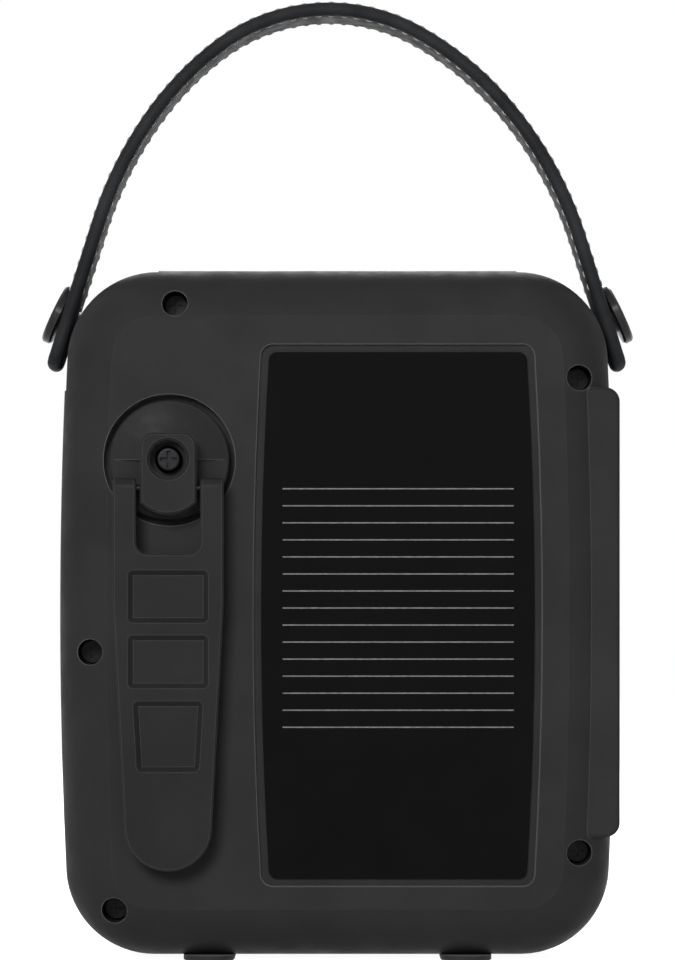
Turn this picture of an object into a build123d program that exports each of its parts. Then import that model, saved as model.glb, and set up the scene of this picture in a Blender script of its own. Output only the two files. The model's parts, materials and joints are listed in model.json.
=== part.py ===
"""Hand crank phone charger: a power bank with a folding crank, a lamp and a carry strap.

Millimetres. +X is to the right seen from the rear, +Y points out of the lamp face, +Z is up.
The origin is in the middle of the whole object's box, at the soles of the feet. The sketches
below have y = 0 at the seam of the case, and finish moves every piece by SEAM_Y.
"""

import os
from math import acos, cos, pi, radians, sin, sqrt, tan

from build123d import *

# ---- fits -------------------------------------------------------------------------------
RUNNING = 0.05  # radial play of a shaft in its hole
GAP = 0.3  # play between faces that move past each other

# ---- case -------------------------------------------------------------------------------
FOOT_H = 1.1
CASE_H = 145.0
CASE_HALF_D = 24.0
CASE_HALF_W_MID = 58.9
CASE_HALF_W_END = 56.6
CORNER_TOP = 19.5
CORNER_BOTTOM = 18.8
WALL = 2.2
BEVEL_REAR = 15.8  # radius of the rear edge, cut flat by SINK_REAR
SINK_REAR = 0.95
BEVEL_FRONT = 9.0
SINK_FRONT = 0.5
INNER_BEVEL = 0.65  # the cavity's chamfer, as a part of the radius that would follow the edge
CASE_Z0 = FOOT_H
CASE_Z1 = CASE_Z0 + CASE_H
CASE_MID_Z = (CASE_Z0 + CASE_Z1) / 2
REAR_Y = -CASE_HALF_D
FRONT_Y = CASE_HALF_D

# ---- feet -------------------------------------------------------------------------------
FOOT_X = 27.2
FOOT_W = 10.8
FOOT_LEN = 34.0
FOOT_PEG_R = 2.0
FOOT_PEG_H = 3.4

# ---- case screws ------------------------------------------------------------------------
SCREW_POINTS = [(-34.1, 138.4), (50.7, 122.8), (-51.9, 65.3), (50.7, 23.2), (-46.8, 11.1)]
WELL_R = 2.7
TOWER_WALL = 1.4
WELL_DEPTH = 14.0  # from the flat rear panel to the seat of the screw head
SCREW_HEAD_R = 2.3
SCREW_HEAD_H = 1.7
SCREW_R = 1.3
SCREW_LEN = 16.0
BOSS_R = 3.4

# ---- label plate ------------------------------------------------------------------------
LABEL_X = 12.6
LABEL_Z0 = 17.9
LABEL_Z1 = 128.1
LABEL_HALF_W_END = 26.9
LABEL_BOW = 1.7
LABEL_CORNER = 1.7
LABEL_T = 0.8
GROOVE_W = 1.65
GROOVE_DEPTH = 1.0

# ---- crank ------------------------------------------------------------------------------
CRANK_X = -35.2
CRANK_Z = 105.5
DISC_R = 12.6
DISC_WELL_R = 13.8
DISC_T = 3.0
DISC_PROUD = 0.3
DISC_WELL_GAP = 0.9  # below the disc
DOME_R = 11.9  # the dome over the upper half of the disc
DOME_RISE = 1.4
HUB_W = 11.7
HUB_UP = 5.5  # above the disc centre
HUB_DOWN = 11.5
HUB_CORNER = 2.7
HUB_FOOT_R = 8.2
HUB_HOLE_R = 3.9
HUB_RIM = 0.55
SHAFT_R = 3.0
BUSH_R = 5.2
BUSH_FLANGE = 0.5
CRANK_SCREW_HEAD_R = 2.85
CRANK_SCREW_HEAD_H = 2.2
CRANK_SCREW_R = 1.4
CRANK_SCREW_LEN = 12.0
CROSS_W = 0.8
CROSS_SPAN = 3.6

# ---- crank arm --------------------------------------------------------------------------
PIVOT_DROP = 6.0  # hinge pin below the disc centre
ARM_HEIGHT = 8.0  # outer face above the rear panel
FORK_R = 2.1
ARM_UNDER_GAP = 1.2
ARM_HALF_W = 11.5
ARM_SHOULDER = 24.5  # below the pin, where the taper starts
ARM_END = 70.6  # below the pin, centre of the round end
ARM_END_R = 9.1
SLOT_W = 13.4
SLOT_DEPTH = 13.7
SLOT_CORNER = 2.4
THICK_START = 16.3  # below the pin
PIN_R = 0.7
POCKET_DEPTH = 1.1
POCKET_SLOPE = 45.0
POCKET_CORNER = 1.15
POCKET_W = 16.8
POCKETS = [(28.1, 17.1), (41.7, 30.6)]  # bottom and top of each, below the pin
POCKET_LOW = (59.1, 44.3)
POCKET_LOW_W = (13.0, 14.7)
PIVOT_Z = CRANK_Z - PIVOT_DROP
ARM_Y0 = REAR_Y - ARM_HEIGHT
PIVOT_Y = ARM_Y0 + FORK_R
ARM_Y1 = REAR_Y - ARM_UNDER_GAP

# ---- grip -------------------------------------------------------------------------------
GRIP_R = 2.7
GRIP_LEN = 30.0
GRIP_POST_R = 1.3
GRIP_BASE_R = 2.4
GRIP_PIVOT = 72.0  # below the hinge pin of the arm
GRIP_ROOF = 0.8  # skin left over the grip under the pockets
CHANNEL_PLAY = 0.9  # between the folded grip and the channel's sides
GRIP_HEAD_R = 2.1
GRIP_HEAD_T = 1.2
GRIP_EDGE = 0.6
GRIP_Z = PIVOT_Z - GRIP_PIVOT
CHANNEL_Y = ARM_Y0 + POCKET_DEPTH + GRIP_ROOF
GRIP_Y = CHANNEL_Y + GAP + GRIP_R
GRIP_TOP = GRIP_BASE_R + GAP + GRIP_LEN + GAP + GRIP_HEAD_T  # above the grip's pin

# ---- gears ------------------------------------------------------------------------------
PRESSURE = radians(20)
WHEEL_TEETH = 40
PINION_TEETH = 12
MODULE_SLOW = 0.8
MODULE_FAST = 0.6
SHIFT = 0.3  # profile shift, added to the pinions and taken from the wheels
BACKLASH = 0.16
WHEEL_T = 3.4
WEB_HOLES = 5
WEB_HOLE_R = 3.0
WEB_HOLE_RING = 9.2
AXLE_R = 1.0
GEAR_Y = REAR_Y + 6.6  # rear face of the crank gear
IDLER_Z = CRANK_Z - MODULE_SLOW * (WHEEL_TEETH + PINION_TEETH) / 2
ROTOR_Z = IDLER_Z - MODULE_FAST * (WHEEL_TEETH + PINION_TEETH) / 2
WHEEL2_Y = GEAR_Y + WHEEL_T + 0.6
PLATE_Y = WHEEL2_Y + WHEEL_T + 0.5
PLATE_T = 2.0
GEAR_POSTS = [(-52.0, 86.0), (-19.5, 86.0), (CRANK_X, 126.5), (CRANK_X, 52.0)]
POST_R = 2.4
GEAR_SCREW_R = 0.9
GEAR_SCREW_LEN = 5.0  # into the post
GENERATOR_R = 12.8
GENERATOR_WALL = 2.0
GENERATOR_LEN = 19.0
ROTOR_GAP = 0.5
ROTOR_END_GAP = 1.0

# ---- battery, boards and sockets --------------------------------------------------------
CELL_W = 57.0
CELL_H = 110.0
CELL_T = 10.3
CELL_X = 16.0
CELL_Z = 70.0
CELL_Y = REAR_Y + WALL + 1.6
BOARD_T = 1.6
BOARD_Y = 3.4
BOARD_X0 = -16.6
BOARD_X1 = 54.6
BOARD_Z0 = 29.0
BOARD_Z1 = 117.0
BOARD_POSTS = [(-14.7, 33.0), (-14.7, 113.0), (48.6, 33.0), (48.6, 113.0)]
BOARD_POST_R = 1.8
USB_A = (14.0, 5.7, 13.1)  # depth, height, width
USB_A_Z = [104.0, 85.0]
USB_C = (7.4, 3.2, 8.9)
USB_C_Z = [66.0, 50.0]
USB_SHEET = 0.4

# ---- side pad and port cover ------------------------------------------------------------
PAD_X = 59.3
PAD_Z0 = 26.4
PAD_Z1 = 120.9
PAD_STEP = 2.8  # pad's rear face below the rear panel
PAD_CORNER = 3.0
PAD_EDGE = 0.9
BAY_Y0 = 1.2
BAY_Y1 = 15.2
BAY_Z0 = 38.0
BAY_Z1 = 114.0
BAY_DEPTH = 2.6
BAY_FLOOR = 2.0
COVER_T = 2.1
COVER_PIN_R = 0.5

# ---- front face -------------------------------------------------------------------------
LAMP_W = 90.0
LAMP_H = 80.0
LAMP_Z = 56.0
LAMP_CORNER = 9.0
LAMP_LIP = 1.6
LAMP_T = 2.4
LAMP_CROWN = 1.0
LED_BOARD_Y = 16.0
LED_R = 1.6
LED_PITCH = 12.0
TORCH_X = -28.0
TORCH_Z = 119.0
TORCH_R = 11.0
TORCH_DEPTH = 14.0
BUTTON_R = 5.6
BUTTON_Z = 121.0
BUTTON_X = {"power_button": 34.0, "light_button": 14.0}
BUTTON_TRAVEL = 0.8
BUTTON_PROUD = 1.0
SWITCH_Y = 16.4
WINDOW_X = 24.0
WINDOW_Z = 106.0
WINDOW_W = 18.0
WINDOW_H = 2.6

# ---- strap ------------------------------------------------------------------------------
STUD_TILT = 25.5  # stud axis above the horizontal
STUD_Z = 136.3
STUD_X = 57.2  # centre of the ball that the strap swings on
STUD_BALL_R = 2.6
STUD_NECK_R = 1.5
CAP_R = 6.65
CAP_T = 2.15
CAP_OUT = 3.8  # outer face of the cap beyond the ball's centre
CAP_SLEEVE_R = 3.6
SOCKET_MOUTH_R = 2.25
STUD_REACH = 6.0
SEAT_DEPTH = 1.6  # shallow seats in the case corners that the strap ends swing in
SEAT_HALF_W = 13.0
SEAT_DROP = 6.0  # the seats reach this far below the centre of the corner
SEAT_LEAN = 1.5  # the corner's centre stands this far in from the widest corner
STRAP_W = 17.0
STRAP_T = 2.7
STRAP_EDGE = 1.1
STRAP_TAB_R = 7.0  # corners of the ends, seen from the side
STRAP_TOP_X = -1.8
STRAP_TOP_Z = 203.4
STRAP_RADII = [40.5, 69.0, 83.0]
STRAP_TURNS = {-1: [38.0, 15.4, 18.9], 1: [29.5, 19.1, 23.7]}
STRAP_END_Z = 125.3


def rod(centre, radius, y_from, y_to, mode=Mode.ADD):
    """A round bar along Y, centred on (x, z)."""
    with BuildSketch(Plane.XZ.offset(-y_from)) as section:
        with Locations(centre):
            Circle(radius)
    extrude(section.sketch, amount=y_from - y_to, mode=mode)


def slab(centre, width, height, y_from, y_to, corner=0.0, mode=Mode.ADD):
    """A rectangular plate square to Y, centred on (x, z)."""
    with BuildSketch(Plane.XZ.offset(-y_from)) as section:
        with Locations(centre):
            if corner:
                RectangleRounded(width, height, corner)
            else:
                Rectangle(width, height)
    extrude(section.sketch, amount=y_from - y_to, mode=mode)


def stud_plane(side, distance=0.0):
    """Square to a stud's axis, at a distance from the ball, z pointing out of the case."""
    tilt = radians(STUD_TILT)
    axis = Vector(side * cos(tilt), 0, sin(tilt))
    origin = Vector(side * STUD_X, 0, STUD_Z) + axis * distance
    return Plane(origin=origin, x_dir=(0, 1, 0), z_dir=axis)


SEAM_Y = -(ARM_Y0 + FRONT_Y + LAMP_CROWN) / 2  # the seam's place in the object's own frame


def finish(piece, label):
    """Names a finished piece, puts it in the object's own frame and writes its file."""
    placed = piece.part.moved(Location((0, SEAM_Y, 0)))
    placed.label = label
    export_step(placed, f"parts/{label}.step")


os.makedirs("parts", exist_ok=True)


# ---- case halves ------------------------------------------------------------------------
def case_outline(inset):
    """The case seen from the rear: bowed sides, flat top and bottom, round corners."""
    z0, z1 = CASE_Z0 + inset, CASE_Z1 - inset
    end, middle = CASE_HALF_W_END - inset, CASE_HALF_W_MID - inset
    with BuildSketch(Plane.XZ) as outline:
        with BuildLine():
            Line((-end, z0), (end, z0))
            ThreePointArc((end, z0), (middle, CASE_MID_Z), (end, z1))
            Line((end, z1), (-end, z1))
            ThreePointArc((-end, z1), (-middle, CASE_MID_Z), (-end, z0))
        make_face()
        fillet(outline.vertices().group_by(Axis.Y)[0], CORNER_BOTTOM - inset)
        fillet(outline.vertices().group_by(Axis.Y)[-1], CORNER_TOP - inset)
    return outline.sketch


def case_half(side, inset):
    """Half of the case, from the seam to the rear (side 1) or front (side -1) panel."""
    bevel, sink = (BEVEL_REAR, SINK_REAR) if side > 0 else (BEVEL_FRONT, SINK_FRONT)
    with BuildPart() as half:
        extrude(case_outline(inset), amount=side * (CASE_HALF_D + sink - inset))
        panel = half.faces().sort_by(Axis.Y)[0 if side > 0 else -1]
        if inset:
            chamfer(panel.edges(), INNER_BEVEL * (bevel - inset))
        else:
            fillet(panel.edges(), bevel)
        keep = Keep.BOTTOM if side > 0 else Keep.TOP
        split(bisect_by=Plane.XZ.offset(side * (CASE_HALF_D - inset)), keep=keep)
    return half.part


def pad_half(side):
    """Half of the raised pad along the +X side."""
    with BuildPart() as pad:
        depth = CASE_HALF_D - PAD_STEP
        inner = CASE_HALF_W_END - BEVEL_REAR / 2
        with BuildSketch(Plane.XZ) as face:
            with Locations(((inner + PAD_X) / 2, (PAD_Z0 + PAD_Z1) / 2)):
                Rectangle(PAD_X - inner, PAD_Z1 - PAD_Z0)
            fillet(face.vertices().group_by(Axis.X)[-1], PAD_CORNER)
        extrude(amount=side * depth)
        end = pad.faces().sort_by(Axis.Y)[0 if side > 0 else -1]
        fillet(end.edges().filter_by(lambda e: e.center().X > inner + 1), PAD_EDGE)
    return pad.part


# rear half -------------------------------------------------------------------------------
SCREW_SEAT = REAR_Y + WELL_DEPTH


def corner_rings(inner, outer_radius):
    """Part rings about the centres of both upper corners, as wide as the strap seats."""
    corner_x = CASE_HALF_W_MID - CORNER_TOP - SEAT_LEAN
    with BuildPart() as seats:
        for side in (-1, 1):
            with BuildSketch(Plane.XZ.offset(-SEAT_HALF_W)):
                with Locations((side * corner_x, CASE_Z1 - CORNER_TOP)):
                    Circle(outer_radius)
                    Circle(inner, mode=Mode.SUBTRACT)
                    away = (Align.MAX if side > 0 else Align.MIN, Align.CENTER)
                    Rectangle(4 * CORNER_TOP, 4 * CORNER_TOP, align=away, mode=Mode.SUBTRACT)
            extrude(amount=2 * SEAT_HALF_W)
        split(bisect_by=Plane.XY.offset(CASE_Z1 - CORNER_TOP - SEAT_DROP), keep=Keep.TOP)
    return seats.part


with BuildPart() as stud_holes:
    for side in (-1, 1):
        with BuildSketch(stud_plane(side, -STUD_REACH)):
            Circle(STUD_NECK_R)
        extrude(amount=STUD_REACH)
STUD_HOLES = stud_holes.part
SEAT_R = CORNER_TOP - SEAT_DEPTH
SEAT_WALLS = corner_rings(SEAT_R - WALL, SEAT_R)
SEAT_CUT = corner_rings(SEAT_R, CORNER_TOP + 2 * WALL)
DISC_WELL_Y = REAR_Y - DISC_PROUD + DISC_T + DISC_WELL_GAP
BUSH_Y1 = DISC_WELL_Y + WALL + BUSH_FLANGE


def label_outline(grow, y=REAR_Y):
    """The label's outline with bowed sides, larger by grow on every side."""
    z0, z1 = LABEL_Z0 - grow, LABEL_Z1 + grow
    end, middle = LABEL_HALF_W_END + grow, LABEL_HALF_W_END + LABEL_BOW + grow
    mid_z = (z0 + z1) / 2
    with BuildSketch(Plane.XZ.offset(-y)) as outline:
        with BuildLine():
            Line((LABEL_X - end, z0), (LABEL_X + end, z0))
            ThreePointArc((LABEL_X + end, z0), (LABEL_X + middle, mid_z), (LABEL_X + end, z1))
            Line((LABEL_X + end, z1), (LABEL_X - end, z1))
            ThreePointArc((LABEL_X - end, z1), (LABEL_X - middle, mid_z), (LABEL_X - end, z0))
        make_face()
        fillet(outline.vertices(), LABEL_CORNER + grow / 2)
    return outline.sketch


with BuildPart() as rear_shell:
    outer = case_half(1, 0)
    add(outer)
    add(pad_half(1))
    add(case_half(1, WALL), mode=Mode.SUBTRACT)
    with BuildPart(mode=Mode.PRIVATE) as inner_forms:
        for point in SCREW_POINTS:
            rod(point, WELL_R + TOWER_WALL, REAR_Y, -GAP)
        for point in GEAR_POSTS:
            rod(point, POST_R, REAR_Y, PLATE_Y)
        for point in BOARD_POSTS:
            rod(point, BOARD_POST_R, REAR_Y, BOARD_Y)
        rod((CRANK_X, CRANK_Z), DISC_WELL_R + WALL, REAR_Y, DISC_WELL_Y + WALL)
        add(SEAT_WALLS)
        add(outer, mode=Mode.INTERSECT)
    add(inner_forms.part)
    add(SEAT_CUT, mode=Mode.SUBTRACT)
    add(STUD_HOLES, mode=Mode.SUBTRACT)
    for point in GEAR_POSTS:
        rod(point, GEAR_SCREW_R, PLATE_Y - GEAR_SCREW_LEN, PLATE_Y, mode=Mode.SUBTRACT)
    for point in SCREW_POINTS:
        rod(point, WELL_R, REAR_Y, SCREW_SEAT, mode=Mode.SUBTRACT)
        rod(point, SCREW_R + RUNNING, SCREW_SEAT, 0, mode=Mode.SUBTRACT)
    rod((CRANK_X, CRANK_Z), DISC_WELL_R, REAR_Y, DISC_WELL_Y, mode=Mode.SUBTRACT)
    rod((CRANK_X, CRANK_Z), BUSH_R, DISC_WELL_Y, BUSH_Y1, mode=Mode.SUBTRACT)
    extrude(label_outline(GROOVE_W), amount=-GROOVE_DEPTH, mode=Mode.SUBTRACT)
finish(rear_shell, "rear_shell")
print("rear shell", rear_shell.part.is_valid, len(rear_shell.part.solids()))


# front half ------------------------------------------------------------------------------
PAD_WALL_X = CASE_HALF_W_MID - WALL - BAY_FLOOR
BAY_FLOOR_X = PAD_X - BAY_DEPTH
COVER_R = COVER_T / 2
COVER_AXIS = (PAD_X - COVER_R, BAY_Y1 - GAP - COVER_R)
COVER_PIN_Z = (BAY_Z0 - 3.0, BAY_Z1 + 3.0)
TORCH_LENS_T = 1.6
WINDOW_GAP = 0.1


def lamp_outline(grow, y_from, y_to, mode=Mode.ADD):
    """A plate with the lamp window's outline, larger by grow on every side."""
    size = (LAMP_W + 2 * grow, LAMP_H + 2 * grow)
    slab((0, LAMP_Z), *size, y_from, y_to, LAMP_CORNER + grow, mode)


def socket_boxes(grow, mode):
    """The mouths of the four sockets, larger by grow, cut through the floor of the port bay."""
    for depth_height_width, places in ((USB_A, USB_A_Z), (USB_C, USB_C_Z)):
        _, height, width = depth_height_width
        for z in places:
            middle = (PAD_WALL_X - 1, BOARD_Y + BOARD_T + height / 2, z)
            size = (2 * (BAY_FLOOR_X - PAD_WALL_X + 2), height + 2 * grow, width + 2 * grow)
            with Locations(middle):
                Box(*size, mode=mode)


with BuildPart() as front_shell:
    front_outer = case_half(-1, 0)
    add(front_outer)
    add(pad_half(-1))
    add(case_half(-1, WALL), mode=Mode.SUBTRACT)
    with BuildPart(mode=Mode.PRIVATE) as front_forms:
        for point in SCREW_POINTS:
            rod(point, BOSS_R, 0, FRONT_Y)
        rod((TORCH_X, TORCH_Z), TORCH_R + WALL, FRONT_Y - TORCH_DEPTH / 2, FRONT_Y)
        add(SEAT_WALLS)
        with Locations(((PAD_WALL_X + PAD_X) / 2, BAY_Y0 - 1, (BAY_Z0 + BAY_Z1) / 2)):
            bay_back = (PAD_X - PAD_WALL_X - 1, BAY_Y1 - BAY_Y0 + 4, BAY_Z1 - BAY_Z0 + 6)
            Box(*bay_back, align=(Align.CENTER, Align.MIN, Align.CENTER))
        add(front_outer, mode=Mode.INTERSECT)
    add(front_forms.part)
    add(SEAT_CUT, mode=Mode.SUBTRACT)
    add(STUD_HOLES, mode=Mode.SUBTRACT)
    for point in SCREW_POINTS:
        rod(point, SCREW_R, 0, SCREW_SEAT + SCREW_LEN, mode=Mode.SUBTRACT)
    with Locations((PAD_X, BAY_Y0, (BAY_Z0 + BAY_Z1) / 2)):
        Box(2 * BAY_DEPTH, BAY_Y1 - BAY_Y0, BAY_Z1 - BAY_Z0,
            align=(Align.CENTER, Align.MIN, Align.CENTER), mode=Mode.SUBTRACT)
    socket_boxes(GAP, Mode.SUBTRACT)
    with Locations((*COVER_AXIS, (BAY_Z0 + BAY_Z1) / 2)):
        Cylinder(COVER_PIN_R, COVER_PIN_Z[1] - COVER_PIN_Z[0], mode=Mode.SUBTRACT)
    lamp_outline(-LAMP_LIP, FRONT_Y - WALL, FRONT_Y, mode=Mode.SUBTRACT)
    lamp_outline(0, FRONT_Y - WALL / 2, FRONT_Y, mode=Mode.SUBTRACT)
    torch = (TORCH_X, TORCH_Z)
    rod(torch, TORCH_R, FRONT_Y - TORCH_LENS_T, FRONT_Y, mode=Mode.SUBTRACT)
    rod(torch, TORCH_R - 1, FRONT_Y - 7, FRONT_Y, mode=Mode.SUBTRACT)
    for x in BUTTON_X.values():
        rod((x, BUTTON_Z), BUTTON_R + GAP, FRONT_Y - WALL, FRONT_Y, mode=Mode.SUBTRACT)
    slab((WINDOW_X, WINDOW_Z), WINDOW_W, WINDOW_H, FRONT_Y - WALL, FRONT_Y, 1.2, Mode.SUBTRACT)
finish(front_shell, "front_shell")
print("front shell", front_shell.part.is_valid, len(front_shell.part.solids()))

with BuildPart() as label_plate:
    extrude(label_outline(0, REAR_Y + GROOVE_DEPTH), amount=LABEL_T)
finish(label_plate, "label_plate")

with BuildPart() as feet:
    for side in (-1, 1):
        with BuildSketch(Plane.XY):
            with Locations((side * FOOT_X, 0)):
                SlotOverall(FOOT_LEN, FOOT_W, rotation=90)
        extrude(amount=FOOT_H)
    chamfer(feet.faces().sort_by(Axis.Z)[:2].edges(), FOOT_H / 4)
finish(feet, "feet")

with BuildPart() as case_screws:
    for point in SCREW_POINTS:
        rod(point, SCREW_HEAD_R, SCREW_SEAT - SCREW_HEAD_H, SCREW_SEAT)
        rod(point, SCREW_R, SCREW_SEAT, SCREW_SEAT + SCREW_LEN)
    for x, z in SCREW_POINTS:
        with Locations((x, SCREW_SEAT - SCREW_HEAD_H, z)):
            for size in ((2.6, 1.6, 0.6), (0.6, 1.6, 2.6)):
                Box(*size, mode=Mode.SUBTRACT)
finish(case_screws, "case_screws")


# ---- crank ------------------------------------------------------------------------------
CRANK = (CRANK_X, CRANK_Z)
DISC_Y0 = REAR_Y - DISC_PROUD
DISC_Y1 = DISC_Y0 + DISC_T
HUB_SEAT_Y = DISC_Y0 - 2.6  # bottom of the screw hole in the hub
SHAFT_END = PLATE_Y + PLATE_T

with BuildPart() as crank_bush:
    rod(CRANK, BUSH_R, DISC_WELL_Y, BUSH_Y1)
    rod(CRANK, SHAFT_R + RUNNING, DISC_WELL_Y, BUSH_Y1, mode=Mode.SUBTRACT)
finish(crank_bush, "crank_bush")

with BuildPart() as crank_disc:
    rod(CRANK, DISC_R, DISC_Y0, DISC_Y1)
    fillet(crank_disc.faces().sort_by(Axis.Y)[0].edges(), 0.5)
    dome_radius = (DOME_R**2 + DOME_RISE**2) / (2 * DOME_RISE)
    with BuildPart(mode=Mode.PRIVATE) as dome:
        with Locations((CRANK_X, DISC_Y0 - DOME_RISE + dome_radius, CRANK_Z)):
            Sphere(dome_radius)
        with Locations((CRANK_X, DISC_Y0, CRANK_Z)):
            Box(3 * DISC_R, 4 * DOME_RISE, 2 * DISC_R,
                align=(Align.CENTER, Align.MAX, Align.MIN), mode=Mode.INTERSECT)
    add(dome.part)
    with BuildSketch(Plane.XZ.offset(-ARM_Y0)) as hub:
        top, foot = CRANK_Z + HUB_UP, CRANK_Z - HUB_DOWN
        shoulder = foot + HUB_FOOT_R - sqrt(HUB_FOOT_R**2 - (HUB_W / 2) ** 2)
        with BuildLine():
            left, right = CRANK_X - HUB_W / 2, CRANK_X + HUB_W / 2
            Polyline((left, shoulder), (left, top), (right, top), (right, shoulder))
            ThreePointArc((right, shoulder), (CRANK_X, foot), (left, shoulder))
        make_face()
        fillet(hub.vertices().group_by(Axis.Y)[-1], HUB_CORNER)
    extrude(amount=-(DISC_Y0 - ARM_Y0))
    chamfer(crank_disc.faces().sort_by(Axis.Y)[0].edges(), 0.45)
    rod(CRANK, HUB_HOLE_R, ARM_Y0, HUB_SEAT_Y, mode=Mode.SUBTRACT)
    chamfer(crank_disc.faces().sort_by(Axis.Y)[0].edges().filter_by(GeomType.CIRCLE)
            .filter_by(lambda e: abs(e.radius - HUB_HOLE_R) < 0.01), HUB_RIM)
    rod(CRANK, CRANK_SCREW_R, HUB_SEAT_Y, DISC_Y1, mode=Mode.SUBTRACT)
    with Locations(Location((CRANK_X, PIVOT_Y, PIVOT_Z), (0, 90, 0))):
        Cylinder(PIN_R + RUNNING, 2 * DISC_R, mode=Mode.SUBTRACT)
finish(crank_disc, "crank_disc")

with BuildPart() as crank_shaft:
    rod(CRANK, SHAFT_R, DISC_Y1, SHAFT_END)
    rod(CRANK, CRANK_SCREW_R, DISC_Y1, HUB_SEAT_Y + CRANK_SCREW_LEN, mode=Mode.SUBTRACT)
finish(crank_shaft, "crank_shaft")

with BuildPart() as crank_screw:
    rod(CRANK, CRANK_SCREW_HEAD_R, HUB_SEAT_Y - CRANK_SCREW_HEAD_H, HUB_SEAT_Y)
    fillet(crank_screw.faces().sort_by(Axis.Y)[0].edges(), 0.9)
    rod(CRANK, CRANK_SCREW_R, HUB_SEAT_Y, HUB_SEAT_Y + CRANK_SCREW_LEN)
    with Locations((CRANK_X, HUB_SEAT_Y - CRANK_SCREW_HEAD_H, CRANK_Z)):
        for size in ((CROSS_SPAN, 2.4, CROSS_W), (CROSS_W, 2.4, CROSS_SPAN)):
            Box(*size, mode=Mode.SUBTRACT)
finish(crank_screw, "crank_screw")

# ---- crank arm --------------------------------------------------------------------------


def pocket(width_low, width_high, low, high):
    """A shallow pocket with sloped walls in the arm's outer face."""
    z_low, z_high = PIVOT_Z - low, PIVOT_Z - high
    with BuildSketch(Plane.XZ.offset(-ARM_Y0)) as rim:
        with BuildLine():
            Polyline((CRANK_X - width_low / 2, z_low), (CRANK_X + width_low / 2, z_low),
                     (CRANK_X + width_high / 2, z_high), (CRANK_X - width_high / 2, z_high),
                     close=True)
        make_face()
        fillet(rim.vertices(), POCKET_CORNER)
    extrude(rim.sketch, amount=-POCKET_DEPTH, taper=POCKET_SLOPE, mode=Mode.SUBTRACT)


FORK_TOP = PIVOT_Z + FORK_R
with BuildPart() as crank_arm:
    with BuildSketch(Plane.XZ.offset(-ARM_Y0)) as arm_face:
        end_z = PIVOT_Z - ARM_END
        with BuildLine():
            Polyline((CRANK_X - ARM_END_R, end_z), (CRANK_X - ARM_HALF_W, PIVOT_Z - ARM_SHOULDER),
                     (CRANK_X - ARM_HALF_W, FORK_TOP), (CRANK_X + ARM_HALF_W, FORK_TOP),
                     (CRANK_X + ARM_HALF_W, PIVOT_Z - ARM_SHOULDER), (CRANK_X + ARM_END_R, end_z))
            ThreePointArc((CRANK_X + ARM_END_R, end_z), (CRANK_X, end_z - ARM_END_R),
                          (CRANK_X - ARM_END_R, end_z))
        make_face()
    extrude(amount=-(ARM_Y1 - ARM_Y0))
    # the forks are a round bar's thickness, the arm under them is thicker towards the case
    thick_z = PIVOT_Z - THICK_START
    with Locations((CRANK_X, PIVOT_Y + FORK_R, thick_z)):
        Box(3 * ARM_HALF_W, 2 * ARM_HEIGHT, 2 * THICK_START,
            align=(Align.CENTER, Align.MIN, Align.MIN), mode=Mode.SUBTRACT)
    fork_edges = crank_arm.edges().filter_by(Axis.X).filter_by(
        lambda e: e.center().Z > FORK_TOP - 0.01)
    fillet(fork_edges, FORK_R - 0.05)
    with BuildSketch(Plane.XZ.offset(-ARM_Y0)) as slot:
        with Locations((CRANK_X, PIVOT_Z - SLOT_DEPTH)):
            Rectangle(SLOT_W, 2 * SLOT_DEPTH, align=(Align.CENTER, Align.MIN))
        fillet(slot.vertices().group_by(Axis.Y)[0], SLOT_CORNER)
    extrude(amount=-2 * ARM_HEIGHT, mode=Mode.SUBTRACT)
    rim = crank_arm.faces().sort_by(Axis.Y)[0].edges().filter_by(
        lambda e: e.center().Z < FORK_TOP - FORK_R)
    chamfer(rim, 0.35)
    for low, high in POCKETS:
        pocket(POCKET_W, POCKET_W, low, high)
    pocket(*POCKET_LOW_W, *POCKET_LOW)
    # channel for the folded grip in the underside
    channel_w = 2 * (GRIP_R + CHANNEL_PLAY)
    channel_low = GRIP_Z - GRIP_BASE_R - GAP
    with BuildSketch(Plane.XZ.offset(-CHANNEL_Y)):
        with Locations((CRANK_X, channel_low)):
            Rectangle(channel_w, GRIP_Z + GRIP_TOP + GAP - channel_low,
                      align=(Align.CENTER, Align.MIN))
    extrude(amount=-ARM_HEIGHT, mode=Mode.SUBTRACT)
    with Locations(Location((CRANK_X, PIVOT_Y, PIVOT_Z), (0, 90, 0)),
                   Location((CRANK_X, GRIP_Y, GRIP_Z), (0, 90, 0))):
        Cylinder(PIN_R, 2 * ARM_HALF_W + 1, mode=Mode.SUBTRACT)
finish(crank_arm, "crank_arm")

with BuildPart() as arm_pin:
    with Locations(Location((CRANK_X, PIVOT_Y, PIVOT_Z), (0, 90, 0))):
        Cylinder(PIN_R, 2 * ARM_HALF_W)
finish(arm_pin, "arm_pin")

# ---- grip -------------------------------------------------------------------------------
SLEEVE_Z0 = GRIP_Z + GRIP_BASE_R + GAP
SLEEVE_Z1 = SLEEVE_Z0 + GRIP_LEN

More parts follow.
